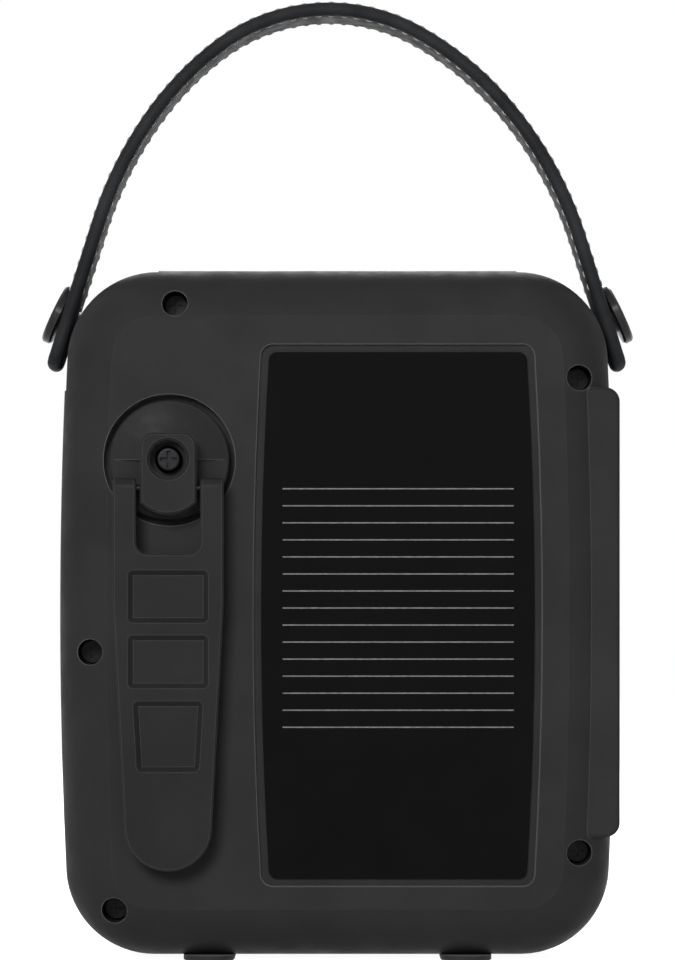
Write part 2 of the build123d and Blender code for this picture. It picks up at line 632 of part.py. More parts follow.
with BuildPart() as grip_post:
    with Locations(Location((CRANK_X, GRIP_Y, GRIP_Z), (0, 90, 0))):
        Cylinder(GRIP_BASE_R, 2 * GRIP_R)
    with BuildSketch(Plane.XY.offset(GRIP_Z)):
        with Locations((CRANK_X, GRIP_Y)):
            Circle(GRIP_POST_R)
    extrude(amount=SLEEVE_Z1 + GAP - GRIP_Z)
    with BuildSketch(Plane.XY.offset(SLEEVE_Z1 + GAP)):
        with Locations((CRANK_X, GRIP_Y)):
            Circle(GRIP_HEAD_R)
    extrude(amount=GRIP_HEAD_T)
    chamfer(grip_post.faces().sort_by(Axis.Z)[-1].edges(), GRIP_HEAD_T / 2)
    with Locations(Location((CRANK_X, GRIP_Y, GRIP_Z), (0, 90, 0))):
        Cylinder(PIN_R + RUNNING, 4 * GRIP_R, mode=Mode.SUBTRACT)
finish(grip_post, "grip_post")

with BuildPart() as grip_pin:
    with Locations(Location((CRANK_X, GRIP_Y, GRIP_Z), (0, 90, 0))):
        Cylinder(PIN_R, 2 * ARM_END_R - 1)
finish(grip_pin, "grip_pin")

with BuildPart() as grip_sleeve:
    with BuildSketch(Plane.XY.offset(SLEEVE_Z0)):
        with Locations((CRANK_X, GRIP_Y)):
            Circle(GRIP_R)
    extrude(amount=GRIP_LEN)
    chamfer(grip_sleeve.edges().filter_by(GeomType.CIRCLE), GRIP_EDGE)
    with BuildSketch(Plane.XY.offset(SLEEVE_Z0)):
        with Locations((CRANK_X, GRIP_Y)):
            Circle(GRIP_POST_R + RUNNING)
    extrude(amount=GRIP_LEN, mode=Mode.SUBTRACT)
finish(grip_sleeve, "grip_sleeve")


# ---- gear train -------------------------------------------------------------------------
def involute(angle):
    return tan(angle) - angle


def gear_points(teeth, module, shift, first_angle):
    """Corner points of a gear with involute flanks, one tooth centred on first_angle."""
    pitch_r = module * teeth / 2
    base_r = pitch_r * cos(PRESSURE)
    tip_r = pitch_r + module * (1 + shift)
    root_r = pitch_r - module * (1.25 - shift)
    half = (pi / 2 + 2 * shift * tan(PRESSURE) - BACKLASH / module) / teeth + involute(PRESSURE)
    start_r = max(base_r, root_r)
    radii = [start_r, (start_r + tip_r) / 2, tip_r]
    flank = [(r, half - involute(acos(min(1.0, base_r / r)))) for r in radii]
    if root_r < base_r - 0.01:
        flank.insert(0, (root_r, flank[0][1]))
    points = []
    for tooth in range(teeth):
        centre = first_angle + 2 * pi * tooth / teeth
        for r, a in flank:
            points.append((r * cos(centre - a), r * sin(centre - a)))
        for r, a in reversed(flank):
            points.append((r * cos(centre + a), r * sin(centre + a)))
    return points


def gear(centre, teeth, module, shift, first_angle, y_from, y_to):
    """A spur gear along Y."""
    x, z = centre
    corners = [(x + u, z + v) for u, v in gear_points(teeth, module, shift, first_angle)]
    with BuildSketch(Plane.XZ.offset(-y_from)) as section:
        with BuildLine():
            Polyline(*corners, close=True)
        make_face()
    extrude(section.sketch, amount=y_from - y_to)


DOWN = -pi / 2
GAP_UP = pi / 2 + pi / PINION_TEETH  # a tooth gap points straight up
IDLER = (CRANK_X, IDLER_Z)
ROTOR = (CRANK_X, ROTOR_Z)

with BuildPart() as crank_gear:
    gear(CRANK, WHEEL_TEETH, MODULE_SLOW, -SHIFT, DOWN, GEAR_Y, GEAR_Y + WHEEL_T)
    rod(CRANK, SHAFT_R, GEAR_Y, GEAR_Y + WHEEL_T, mode=Mode.SUBTRACT)
    with BuildSketch(Plane.XZ.offset(-GEAR_Y)):
        with Locations(CRANK):
            with PolarLocations(WEB_HOLE_RING, WEB_HOLES):
                Circle(WEB_HOLE_R)
    extrude(amount=-WHEEL_T, mode=Mode.SUBTRACT)
finish(crank_gear, "crank_gear")

with BuildPart() as idler_gear:
    gear(IDLER, PINION_TEETH, MODULE_SLOW, SHIFT, GAP_UP, GEAR_Y, WHEEL2_Y)
    gear(IDLER, WHEEL_TEETH, MODULE_FAST, -SHIFT, DOWN, WHEEL2_Y, WHEEL2_Y + WHEEL_T)
    rod(IDLER, AXLE_R + RUNNING, GEAR_Y, WHEEL2_Y + WHEEL_T, mode=Mode.SUBTRACT)
finish(idler_gear, "idler_gear")

with BuildPart() as idler_axle:
    rod(IDLER, AXLE_R, REAR_Y + WALL, PLATE_Y + PLATE_T)
finish(idler_axle, "idler_axle")

ROTOR_Y0 = PLATE_Y + PLATE_T + GENERATOR_WALL + ROTOR_END_GAP
ROTOR_Y1 = PLATE_Y + PLATE_T + GENERATOR_LEN - GENERATOR_WALL - ROTOR_END_GAP
with BuildPart() as generator_rotor:
    gear(ROTOR, PINION_TEETH, MODULE_FAST, SHIFT, GAP_UP, WHEEL2_Y, PLATE_Y - GAP)
    rod(ROTOR, AXLE_R, WHEEL2_Y, ROTOR_Y1 + ROTOR_END_GAP + GENERATOR_WALL)
    rod(ROTOR, GENERATOR_R - GENERATOR_WALL - ROTOR_GAP, ROTOR_Y0, ROTOR_Y1)
finish(generator_rotor, "generator_rotor")

with BuildPart() as generator_housing:
    rod(ROTOR, GENERATOR_R, PLATE_Y + PLATE_T, PLATE_Y + PLATE_T + GENERATOR_LEN)
    rod(ROTOR, GENERATOR_R - GENERATOR_WALL, ROTOR_Y0 - ROTOR_END_GAP, ROTOR_Y1 + ROTOR_END_GAP,
        mode=Mode.SUBTRACT)
    rod(ROTOR, AXLE_R + RUNNING, PLATE_Y, FRONT_Y, mode=Mode.SUBTRACT)
finish(generator_housing, "generator_housing")

with BuildPart() as gearbox_plate:
    with BuildSketch(Plane.XZ.offset(-PLATE_Y)):
        with Locations(*GEAR_POSTS):
            Circle(POST_R + 1.8)
        make_hull()
    extrude(amount=-PLATE_T)
    rod(CRANK, SHAFT_R + RUNNING, PLATE_Y, PLATE_Y + PLATE_T, mode=Mode.SUBTRACT)
    rod(IDLER, AXLE_R, PLATE_Y, PLATE_Y + PLATE_T, mode=Mode.SUBTRACT)
    rod(ROTOR, AXLE_R + RUNNING, PLATE_Y, PLATE_Y + PLATE_T, mode=Mode.SUBTRACT)
    for point in GEAR_POSTS:
        rod(point, GEAR_SCREW_R, PLATE_Y, PLATE_Y + PLATE_T, mode=Mode.SUBTRACT)
finish(gearbox_plate, "gearbox_plate")

with BuildPart() as gearbox_screws:
    for point in GEAR_POSTS:
        rod(point, 1.9, PLATE_Y + PLATE_T, PLATE_Y + PLATE_T + 1.3)
        rod(point, GEAR_SCREW_R, PLATE_Y - GEAR_SCREW_LEN, PLATE_Y + PLATE_T)
finish(gearbox_screws, "gearbox_screws")


# ---- battery and boards -----------------------------------------------------------------
CELL_GAP = 0.2
with BuildPart() as battery_cells:
    for layer in range(2):
        y = CELL_Y + layer * (CELL_T + CELL_GAP)
        slab((CELL_X, CELL_Z), CELL_W, CELL_H, y, y + CELL_T)
    fillet(battery_cells.edges().filter_by(Axis.Z), CELL_T / 4)
finish(battery_cells, "battery_cells")

CELL_TRAY_T = CELL_Y - (REAR_Y + WALL)
with BuildPart() as battery_pad:
    slab((CELL_X, CELL_Z), CELL_W - 12, CELL_H - 16, REAR_Y + WALL, REAR_Y + WALL + CELL_TRAY_T)
finish(battery_pad, "battery_pad")

BOARD_FRONT = BOARD_Y + BOARD_T
with BuildPart() as main_board:
    board_middle = ((BOARD_X0 + BOARD_X1) / 2, (BOARD_Z0 + BOARD_Z1) / 2)
    slab(board_middle, BOARD_X1 - BOARD_X0, BOARD_Z1 - BOARD_Z0, BOARD_Y, BOARD_FRONT, 2.0)
    for point in BOARD_POSTS:
        rod(point, 1.0, BOARD_Y, BOARD_FRONT, mode=Mode.SUBTRACT)
    for chip in ((5.0, 60.0, 7.0, 7.0, 1.0), (22.0, 60.0, 9.0, 9.0, 3.6), (8.0, 86.0, 5.0, 6.0, 1.2)):
        x, z, width, height, thick = chip
        slab((x, z), width, height, BOARD_FRONT, BOARD_FRONT + thick)
finish(main_board, "main_board")

with BuildPart() as board_screws:
    for point in BOARD_POSTS:
        rod(point, 1.7, BOARD_FRONT, BOARD_FRONT + 1.2)
        rod(point, 0.95, BOARD_Y, BOARD_FRONT)
finish(board_screws, "board_screws")


def socket_shell(size, places):
    """Sheet metal sockets that open towards +X, standing on the main board."""
    depth, height, width = size
    for z in places:
        with Locations((BAY_FLOOR_X, BOARD_FRONT + height / 2, z)):
            Box(depth, height, width, align=(Align.MAX, Align.CENTER, Align.CENTER))
        with Locations((BAY_FLOOR_X, BOARD_FRONT + height / 2, z)):
            Box(depth - USB_SHEET, height - 2 * USB_SHEET, width - 2 * USB_SHEET,
                align=(Align.MAX, Align.CENTER, Align.CENTER), mode=Mode.SUBTRACT)


def socket_tongue(size, z, thick, offset, front_gap):
    """The contact tongue inside a socket, standing on the socket's back wall."""
    depth, height, width = size
    with Locations((BAY_FLOOR_X - depth + USB_SHEET, BOARD_FRONT + height / 2 + offset, z)):
        Box(depth - USB_SHEET - front_gap, thick, width - 4 * USB_SHEET,
            align=(Align.MIN, Align.CENTER, Align.CENTER))


with BuildPart() as usb_a_sockets:
    socket_shell(USB_A, USB_A_Z)
finish(usb_a_sockets, "usb_a_sockets")

with BuildPart() as usb_c_sockets:
    socket_shell(USB_C, USB_C_Z)
finish(usb_c_sockets, "usb_c_sockets")

for label, z in zip(("usb_a_tongue_fast", "usb_a_tongue"), USB_A_Z):
    with BuildPart() as tongue:
        socket_tongue(USB_A, z, 1.8, 0.9, 0.8)
    finish(tongue, label)

with BuildPart() as usb_c_tongues:
    for z in USB_C_Z:
        socket_tongue(USB_C, z, 0.7, 0, 0.6)
finish(usb_c_tongues, "usb_c_tongues")

# ---- port cover -------------------------------------------------------------------------
COVER_Z0 = BAY_Z0 + GAP
COVER_Z1 = BAY_Z1 - GAP
with BuildPart() as port_cover:
    with BuildSketch(Plane.XY.offset(COVER_Z0)):
        with Locations(COVER_AXIS):
            Circle(COVER_R)
        with Locations((PAD_X, COVER_AXIS[1])):
            Rectangle(COVER_T, COVER_AXIS[1] - BAY_Y0 - GAP, align=(Align.MAX, Align.MAX))
    extrude(amount=COVER_Z1 - COVER_Z0)
    grip_edge = port_cover.edges().filter_by(Axis.Z).sort_by(Axis.Y)[:2]
    fillet(grip_edge, 0.7)
    with Locations((*COVER_AXIS, (BAY_Z0 + BAY_Z1) / 2)):
        Cylinder(COVER_PIN_R + RUNNING, BAY_Z1 - BAY_Z0, mode=Mode.SUBTRACT)
finish(port_cover, "port_cover")

with BuildPart() as cover_pin:
    with Locations((*COVER_AXIS, (BAY_Z0 + BAY_Z1) / 2)):
        Cylinder(COVER_PIN_R, COVER_PIN_Z[1] - COVER_PIN_Z[0])
finish(cover_pin, "cover_pin")

# ---- lamp and torch ---------------------------------------------------------------------
with BuildPart() as lamp_diffuser:
    lamp_outline(-GAP, FRONT_Y - WALL / 2, FRONT_Y + LAMP_CROWN)
    chamfer(lamp_diffuser.faces().sort_by(Axis.Y)[-1].edges(), LAMP_CROWN, 3 * LAMP_CROWN)
finish(lamp_diffuser, "lamp_diffuser")

LED_COLUMNS = int((LAMP_W - 2 * LAMP_CORNER) / LED_PITCH)
LED_ROWS = int((LAMP_H - 2 * LAMP_CORNER) / LED_PITCH)
LED_POSTS = [(s * (LAMP_W / 2 - 3), LAMP_Z + t * (LAMP_H / 2 - 3)) for s in (-1, 1) for t in (-1, 1)]
with BuildPart() as led_board:
    slab((0, LAMP_Z), LAMP_W - 2, LAMP_H - 2, LED_BOARD_Y, LED_BOARD_Y + 1.2, LAMP_CORNER / 3)
    for x, z in LED_POSTS:
        rod((x, z), 1.4, LED_BOARD_Y + 1.2, FRONT_Y - WALL)
finish(led_board, "led_board")

with BuildPart() as lamp_leds:
    with BuildSketch(Plane.XZ.offset(-(LED_BOARD_Y + 1.2))):
        with Locations((0, LAMP_Z)):
            with GridLocations(LED_PITCH, LED_PITCH, LED_COLUMNS, LED_ROWS):
                Rectangle(2 * LED_R, 2 * LED_R)
    extrude(amount=-0.8)
finish(lamp_leds, "lamp_leds")

TORCH = (TORCH_X, TORCH_Z)
TORCH_BACK = FRONT_Y - TORCH_LENS_T - TORCH_DEPTH
with BuildPart() as torch_lens:
    rod(TORCH, TORCH_R, FRONT_Y - TORCH_LENS_T, FRONT_Y)
    chamfer(torch_lens.faces().sort_by(Axis.Y)[-1].edges(), 0.3)
finish(torch_lens, "torch_lens")

with BuildPart() as torch_reflector:
    with BuildSketch(Plane.XY) as bowl_half:
        with BuildLine():
            Polyline((2.4, TORCH_BACK), (TORCH_R - 1.8, FRONT_Y - TORCH_LENS_T - 1.2),
                     (TORCH_R - 1.8, FRONT_Y - TORCH_LENS_T), (TORCH_R - 1.0, FRONT_Y - TORCH_LENS_T),
                     (TORCH_R - 1.0, FRONT_Y - TORCH_LENS_T - 1.5), (3.4, TORCH_BACK), close=True)
        make_face()
    revolve(axis=Axis.Y)
torch_reflector.part.move(Location((TORCH_X, 0, TORCH_Z)))
finish(torch_reflector, "torch_reflector")

with BuildPart() as torch_led:
    rod(TORCH, 5.0, TORCH_BACK - 1.2, TORCH_BACK)
    rod(TORCH, 1.6, TORCH_BACK, TORCH_BACK + 1.4)
finish(torch_led, "torch_led")

# ---- buttons ----------------------------------------------------------------------------
SWITCH_T = 3.0
BUTTON_EDGE = 0.5
SWITCH_BOARD_T = 1.2
for label, x in BUTTON_X.items():
    with BuildPart() as button:
        rod((x, BUTTON_Z), BUTTON_R, FRONT_Y - WALL, FRONT_Y + BUTTON_PROUD)
        chamfer(button.faces().sort_by(Axis.Y)[-1].edges(), BUTTON_EDGE)
        rod((x, BUTTON_Z), BUTTON_R + 1.0, FRONT_Y - WALL - 1.0, FRONT_Y - WALL)
    finish(button, label)

with BuildPart() as button_board:
    middle_x = sum(BUTTON_X.values()) / 2
    slab((middle_x, BUTTON_Z - 4), 40.0, 22.0, SWITCH_Y, SWITCH_Y + SWITCH_BOARD_T, 1.5)
    for x in BUTTON_X.values():
        slab((x, BUTTON_Z), 6.0, 6.0, SWITCH_Y + SWITCH_BOARD_T,
             FRONT_Y - WALL - 1.0 - BUTTON_TRAVEL - GAP)
    for x in (middle_x - 18, middle_x + 18):
        rod((x, BUTTON_Z - 13), 1.4, SWITCH_Y + SWITCH_BOARD_T, FRONT_Y - WALL)
finish(button_board, "button_board")

with BuildPart() as indicator_window:
    slab((WINDOW_X, WINDOW_Z), WINDOW_W, WINDOW_H, FRONT_Y - WALL, FRONT_Y, 1.2)
finish(indicator_window, "indicator_window")


# ---- strap ------------------------------------------------------------------------------
with BuildPart() as strap_studs:
    for side in (-1, 1):
        rim_plane = stud_plane(side, -STUD_REACH)
        with BuildSketch(rim_plane):
            Circle(STUD_NECK_R)
        extrude(amount=STUD_REACH)
        with Locations(stud_plane(side)):
            Sphere(STUD_BALL_R)
finish(strap_studs, "strap_studs")

SOCKET_R = STUD_BALL_R + RUNNING
CAP_IN = CAP_OUT - CAP_T
SLEEVE_IN = 1.0  # the cap's sleeve reaches this far behind the ball's centre
with BuildPart() as strap_buttons:
    for side in (-1, 1):
        with BuildSketch(stud_plane(side, CAP_IN)):
            Circle(CAP_R)
        extrude(amount=CAP_T)
        with BuildSketch(stud_plane(side, -SLEEVE_IN)):
            Circle(CAP_SLEEVE_R)
        extrude(amount=SLEEVE_IN + CAP_IN)
    chamfer(strap_buttons.edges().filter_by(GeomType.CIRCLE)
            .filter_by(lambda e: e.radius > CAP_R - 0.01), 0.45)
    for side in (-1, 1):
        with Locations(stud_plane(side)):
            Sphere(SOCKET_R, mode=Mode.SUBTRACT)
            with Locations((0, 0, -SLEEVE_IN / 2)):
                Cone(SOCKET_MOUTH_R, STUD_NECK_R + GAP, SLEEVE_IN + 0.2, mode=Mode.SUBTRACT)
finish(strap_buttons, "strap_buttons")


def strap_edge(side, inset):
    """Arc points and the end point of one half of the strap's outline, from its top down."""
    x, z, start = STRAP_TOP_X, STRAP_TOP_Z - inset, 0.0
    arcs = []
    for radius, turn in zip(STRAP_RADII, STRAP_TURNS[side]):
        r, stop = radius - inset, start + radians(turn)
        centre = (x - side * r * sin(start), z - r * cos(start))
        places = [(centre[0] + side * r * sin(a), centre[1] + r * cos(a))
                  for a in (start, (start + stop) / 2, stop)]
        arcs.append(places)
        (x, z), start = places[-1], stop
    drop = z - (STRAP_END_Z + STRAP_T / 2 + inset * cos(start) - STRAP_T / 2 * cos(start))
    return arcs, (x + side * drop / tan(start), z - drop)


with BuildPart() as strap:
    with BuildSketch(Plane.XZ.offset(-STRAP_W / 2)):
        with BuildLine():
            ends = []
            for inset in (0, STRAP_T):
                for side in (-1, 1):
                    arcs, end = strap_edge(side, inset)
                    for places in arcs:
                        ThreePointArc(*places)
                    Line(arcs[-1][-1], end)
                    ends.append(end)
            for side, (outer_end, inner_end) in ((-1, ends[0::2]), (1, ends[1::2])):
                middle = (Vector(outer_end) + Vector(inner_end)) / 2
                lean = radians(sum(STRAP_TURNS[side]))
                tip = middle + Vector(side * cos(lean), -sin(lean)) * (STRAP_T / 2)
                ThreePointArc(outer_end, tip, inner_end)
        make_face()
    extrude(amount=STRAP_W)
    outline_faces = strap.faces().filter_by(Axis.Y)
    fillet(outline_faces.edges(), STRAP_EDGE)
    for side in (-1, 1):
        with BuildSketch(stud_plane(side, -STRAP_T)):
            Circle(CAP_SLEEVE_R)
        extrude(amount=2 * STRAP_T, mode=Mode.SUBTRACT)
    add(strap_buttons.part, mode=Mode.SUBTRACT)
    with BuildSketch(Plane.YZ) as side_view:
        with Locations((0, STRAP_END_Z)):
            Rectangle(STRAP_W, STRAP_TOP_Z, align=(Align.CENTER, Align.MIN))
        fillet(side_view.vertices().group_by(Axis.Y)[0], STRAP_TAB_R)
    extrude(amount=2 * STUD_X, both=True, mode=Mode.INTERSECT)
finish(strap, "strap")
print("strap", strap.part.is_valid, len(strap.part.solids()))
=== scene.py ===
"""Dresses the hand crank phone charger: finishes, the stitched leather strap, the label's rules."""

import json
from math import cos, pi, radians, sin, sqrt

import bmesh
import bpy
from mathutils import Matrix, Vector


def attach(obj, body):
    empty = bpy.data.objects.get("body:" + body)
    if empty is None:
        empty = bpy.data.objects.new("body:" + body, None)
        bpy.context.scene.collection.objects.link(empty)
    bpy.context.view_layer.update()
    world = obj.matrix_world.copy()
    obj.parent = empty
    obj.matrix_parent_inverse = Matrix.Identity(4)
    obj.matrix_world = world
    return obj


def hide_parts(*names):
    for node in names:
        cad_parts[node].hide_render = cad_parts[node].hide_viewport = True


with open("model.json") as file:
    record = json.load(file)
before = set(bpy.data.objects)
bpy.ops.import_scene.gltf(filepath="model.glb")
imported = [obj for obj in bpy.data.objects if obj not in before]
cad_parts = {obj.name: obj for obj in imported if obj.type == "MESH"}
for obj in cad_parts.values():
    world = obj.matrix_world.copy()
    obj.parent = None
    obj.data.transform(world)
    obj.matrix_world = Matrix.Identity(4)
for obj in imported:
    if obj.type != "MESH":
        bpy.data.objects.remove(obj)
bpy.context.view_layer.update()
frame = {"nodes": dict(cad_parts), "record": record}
MM = 0.001
SEAM_Y = 3.5  # of the case, in millimetres; the strap hangs over it

# ---- the photograph's view: level, along +Y, at the height of the case's middle ----------------
CAMERA_AWAY = 1.02  # from the seam of the case
CAMERA_Z = 0.0737
OUTLINE_Y = -0.009  # plane of the case's widest outline, which sets the scale
PIXELS_PER_MM = 4.707
FRAME_H = 960
AXIS_PIXEL_Y = 612  # where the camera's axis meets the picture
SENSOR = 36.0

# ---- strap, in millimetres ---------------------------------------------------------------------
STRAP_W = 17.0
STRAP_T = 2.7
LEATHER_T = 3.2  # with its padding, over the same middle line
STRAP_TOP = (-1.8, 203.4)
STRAP_RADII = [40.5, 69.0, 83.0]
STRAP_TURNS = {-1: [38.0, 15.4, 18.9], 1: [29.5, 19.1, 23.7]}
STRAP_END_Z = 125.3
STRAP_TAB_R = 7.0
STRAP_TAB_MIN = 0.35  # half width where the round tab starts
ARC_STEP = 1.2  # length of one step along the bends
ARC_MIN_STEPS = 4
STRAIGHT_STEPS = 46
STRAIGHT_CROWD = 1.6  # above 1 the steps get shorter towards the tab
STRAP_COLUMNS = 14  # across each face
PAD_RISE = 0.10  # of the padded middle over the edges
GROOVE_DEPTH = 0.16  # that the stitches lie in
GROOVE_HALF_W = 0.55
FACE_DROP = 0.1
STITCH_INSET = 2.1
STITCH_LEN = 1.8
STITCH_GAP = 1.0
STITCH_START = 17.0  # from the ends of the strap
THREAD_R = 0.19
THREAD_RINGS = 5
THREAD_SIDES = 6

# ---- label, in millimetres ---------------------------------------------------------------------
RULE_X = (-11.5, 36.9)
RULE_TOP_Z = 99.5
RULE_PITCH = 3.566
RULE_COUNT = 15
RULE_W = 0.26
RULE_T = 0.02
LABEL_FACE_Y = SEAM_Y - 23.8

# ---- painted highlights along the edges of the moulded plastic ---------------------------------
PAINTED_HIGHLIGHT_W = 0.00035  # in metres
PAINTED_HIGHLIGHT_GAIN = 4.2  # how much lighter the painted edge highlights are
EDGE_SAMPLES = 6
EDGE_STOPS = (0.88, 0.985)  # cosines of the turn that is all edge, and of the turn that is none

# ---- studio, in metres and watts ---------------------------------------------------------------
LAMP_TARGET = (0, 0, 0.09)
LAMPS = {  # name: place, size, power
    "key": ((-0.28, -1.25, 0.5), 0.4, 9),
    "fill": ((0.35, -1.3, 0.25), 0.6, 1.2),
    "top": ((0.05, -0.1, 1.1), 0.5, 0.3),
    "back": ((0.1, 1.1, 0.6), 0.7, 7),  # for the front, which the photograph doesn't show
}
WORLD_SEEN = 1.0  # strength of the white background
WORLD_LIGHT = 0.05  # what of it lights the object
FLOOR_HALF = 3.0
FLOOR_GREY = 0.8
FLOOR_GLOW = 0.95


# ---- shader helpers ----------------------------------------------------------------------------
def new_material(name, color, roughness, metallic=0.0, specular=0.5):
    """A principled material with plain values on its own sockets."""
    mat = bpy.data.materials.new(name)
    mat.use_nodes = True
    shader = mat.node_tree.nodes["Principled BSDF"]
    shader.inputs["Base Color"].default_value = (*color, 1)
    shader.inputs["Roughness"].default_value = roughness
    shader.inputs["Metallic"].default_value = metallic
    shader.inputs["Specular IOR Level"].default_value = specular
    return mat, mat.node_tree, shader


def noise(tree, scale, detail=2.0, stretch=(1, 1, 1)):
    """Noise in the piece's own space, with scale in features per metre."""
    coords = tree.nodes.new("ShaderNodeTexCoord")
    mapping = tree.nodes.new("ShaderNodeMapping")
    mapping.inputs["Scale"].default_value = stretch
    texture = tree.nodes.new("ShaderNodeTexNoise")
    texture.inputs["Scale"].default_value = scale
    texture.inputs["Detail"].default_value = detail
    tree.links.new(coords.outputs["Object"], mapping.inputs["Vector"])
    tree.links.new(mapping.outputs["Vector"], texture.inputs["Vector"])
    return texture.outputs["Fac"]


def bump(tree, shader, height, strength, distance, under=None):
    """Adds a bump to the shader, over another bump if one is given."""
    node = tree.nodes.new("ShaderNodeBump")
    node.inputs["Strength"].default_value = strength
    node.inputs["Distance"].default_value = distance
    tree.links.new(height, node.inputs["Height"])
    if under:
        tree.links.new(under.outputs["Normal"], node.inputs["Normal"])
    tree.links.new(node.outputs["Normal"], shader.inputs["Normal"])
    return node


def ramp(tree, value, low, high, stops=(0.35, 0.65)):
    """Maps a texture's value to colours between low and high."""
    node = tree.nodes.new("ShaderNodeValToRGB")
    for element, position, color in zip(node.color_ramp.elements, stops, (low, high)):
        element.position = position
        element.color = (*color, 1)
    tree.links.new(value, node.inputs["Fac"])
    return node.outputs["Color"]


def grey(level):
    return (level,) * 3


def shade(color, factor):
    return tuple(channel * factor for channel in color)


def edge_mask(tree, width):
    """1 along edges and 0 on flats, from how far rounding the edges would turn the normal."""
    rounded = tree.nodes.new("ShaderNodeBevel")
    rounded.samples = EDGE_SAMPLES
    rounded.inputs["Radius"].default_value = width
    surface = tree.nodes.new("ShaderNodeNewGeometry")
    match = tree.nodes.new("ShaderNodeVectorMath")
    match.operation = "DOT_PRODUCT"
    tree.links.new(rounded.outputs["Normal"], match.inputs[0])
    tree.links.new(surface.outputs["Normal"], match.inputs[1])
    return ramp(tree, match.outputs["Value"], grey(1), grey(0), EDGE_STOPS)


def blend_colors(tree, mask, base, top):
    """Top over base where the mask is 1."""
    mix = tree.nodes.new("ShaderNodeMix")
    mix.data_type = "RGBA"
    tree.links.new(mask, mix.inputs["Factor"])
    tree.links.new(base, mix.inputs[6])  # its colour sockets A, B and Result go by number
    mix.inputs[7].default_value = (*top, 1)
    return mix.outputs[2]


def paint(tree, shader, color):
    """Links a colour to the shader's base colour."""
    tree.links.new(color, shader.inputs["Base Color"])


def vary_roughness(tree, shader, value, low, high):
    """Spreads the shader's roughness between low and high by a texture's value."""
    tree.links.new(ramp(tree, value, grey(low), grey(high)), shader.inputs["Roughness"])


def grained_plastic(name, color, roughness=0.55, grain=2600, strength=0.35, vary=0.12,
                    specular=0.03):
    """Moulded plastic with a fine spark-eroded grain, faint clouds of wear and painted highlights
    along its edges.
    """
    mat, tree, shader = new_material(name, color, roughness, specular=specular)
    clouds = noise(tree, 60, 3)
    tint = ramp(tree, clouds, shade(color, 1 - vary), shade(color, 1 + vary), (0.3, 0.7))
    # painted highlights: every edge, ridge and hollow alike, coloured lighter than the flats in
    # place of glints
    highlighted_edges = blend_colors(tree, edge_mask(tree, PAINTED_HIGHLIGHT_W), tint, shade(color, PAINTED_HIGHLIGHT_GAIN))
    paint(tree, shader, highlighted_edges)
    vary_roughness(tree, shader, noise(tree, 220, 2), roughness - 0.06, roughness + 0.06)
    fine = bump(tree, shader, noise(tree, grain, 3), strength, 0.00008)
    bump(tree, shader, noise(tree, grain / 3.2, 2), strength * 0.6, 0.00012, fine)
    return mat


def smooth_plastic(name, color, roughness=0.35, specular=0.4):
    """Plain moulded plastic with a faint unevenness."""
    mat, tree, shader = new_material(name, color, roughness, specular=specular)
    paint(tree, shader, ramp(tree, noise(tree, 90, 2), shade(color, 0.93), shade(color, 1.07)))
    bump(tree, shader, noise(tree, 500, 2), 0.08, 0.00005)
    return mat


def brushed_metal(name, color, roughness=0.32, stretch=(1, 1, 18)):
    """Metal with fine drawn lines."""
    mat, tree, shader = new_material(name, color, roughness, metallic=1.0)
    lines = noise(tree, 900, 3, stretch)
    vary_roughness(tree, shader, lines, roughness - 0.1, roughness + 0.12)
    bump(tree, shader, lines, 0.12, 0.00003)
    return mat


def soft_rubber(name, color, roughness=0.75):
    """Matte rubber with a dusty bloom."""
    mat, tree, shader = new_material(name, color, roughness, specular=0.3)
    paint(tree, shader, ramp(tree, noise(tree, 140, 4), color, shade(color, 1.5)))
    shader.inputs["Sheen Weight"].default_value = 0.15
    bump(tree, shader, noise(tree, 1500, 2), 0.25, 0.00006)
    return mat


def leather(name, color):
    """Black leather: a cell grain with creases, rubbed a little lighter in places."""
    mat, tree, shader = new_material(name, color, 0.55, specular=0.05)
    coords = tree.nodes.new("ShaderNodeTexCoord")
    cells = tree.nodes.new("ShaderNodeTexVoronoi")
    cells.feature = "DISTANCE_TO_EDGE"
    cells.inputs["Scale"].default_value = 1300
    tree.links.new(coords.outputs["Object"], cells.inputs["Vector"])
    creases = ramp(tree, cells.outputs["Distance"], grey(0), grey(1), (0.0, 0.12))
    rubbed = ramp(tree, noise(tree, 120, 4), shade(color, 0.8), shade(color, 1.35), (0.35, 0.7))
    paint(tree, shader, rubbed)
    vary_roughness(tree, shader, noise(tree, 300, 3), 0.42, 0.62)
    grain = bump(tree, shader, creases, 0.4, 0.00006)
    bump(tree, shader, noise(tree, 3200, 2), 0.2, 0.00004, grain)
    return mat


def thread_material():
    """Waxed pale thread with its twist."""
    mat, tree, shader = new_material("thread", (0.62, 0.62, 0.6), 0.7)
    shader.inputs["Sheen Weight"].default_value = 0.3
    twist = noise(tree, 2600, 1, (1, 1, 0.4))
    paint(tree, shader, ramp(tree, twist, grey(0.4), grey(0.72)))
    bump(tree, shader, twist, 0.5, 0.00006)
    return mat


def clear_plastic(name, tint):
    """Clear moulded lens."""
    mat, tree, shader = new_material(name, tint, 0.08)
    shader.inputs["Transmission Weight"].default_value = 0.9
    shader.inputs["IOR"].default_value = 1.49
    bump(tree, shader, noise(tree, 200, 2), 0.03, 0.00005)
    return mat


def opal(name, color):
    """Milky lamp diffuser."""
    mat, tree, shader = new_material(name, color, 0.4)
    shader.inputs["Subsurface Weight"].default_value = 0.3
    shader.inputs["Subsurface Radius"].default_value = grey(0.003)
    paint(tree, shader, ramp(tree, noise(tree, 80, 2), shade(color, 0.96), color))
    bump(tree, shader, noise(tree, 1800, 2), 0.15, 0.00005)
    return mat


def circuit_board(name, color):
    """Solder mask with faint tracks."""
    mat, tree, shader = new_material(name, color, 0.38)
    tracks = noise(tree, 260, 0, (1, 1, 6))
    paint(tree, shader, ramp(tree, tracks, color, shade(color, 1.8), (0.48, 0.52)))
    bump(tree, shader, tracks, 0.2, 0.00005)
    return mat


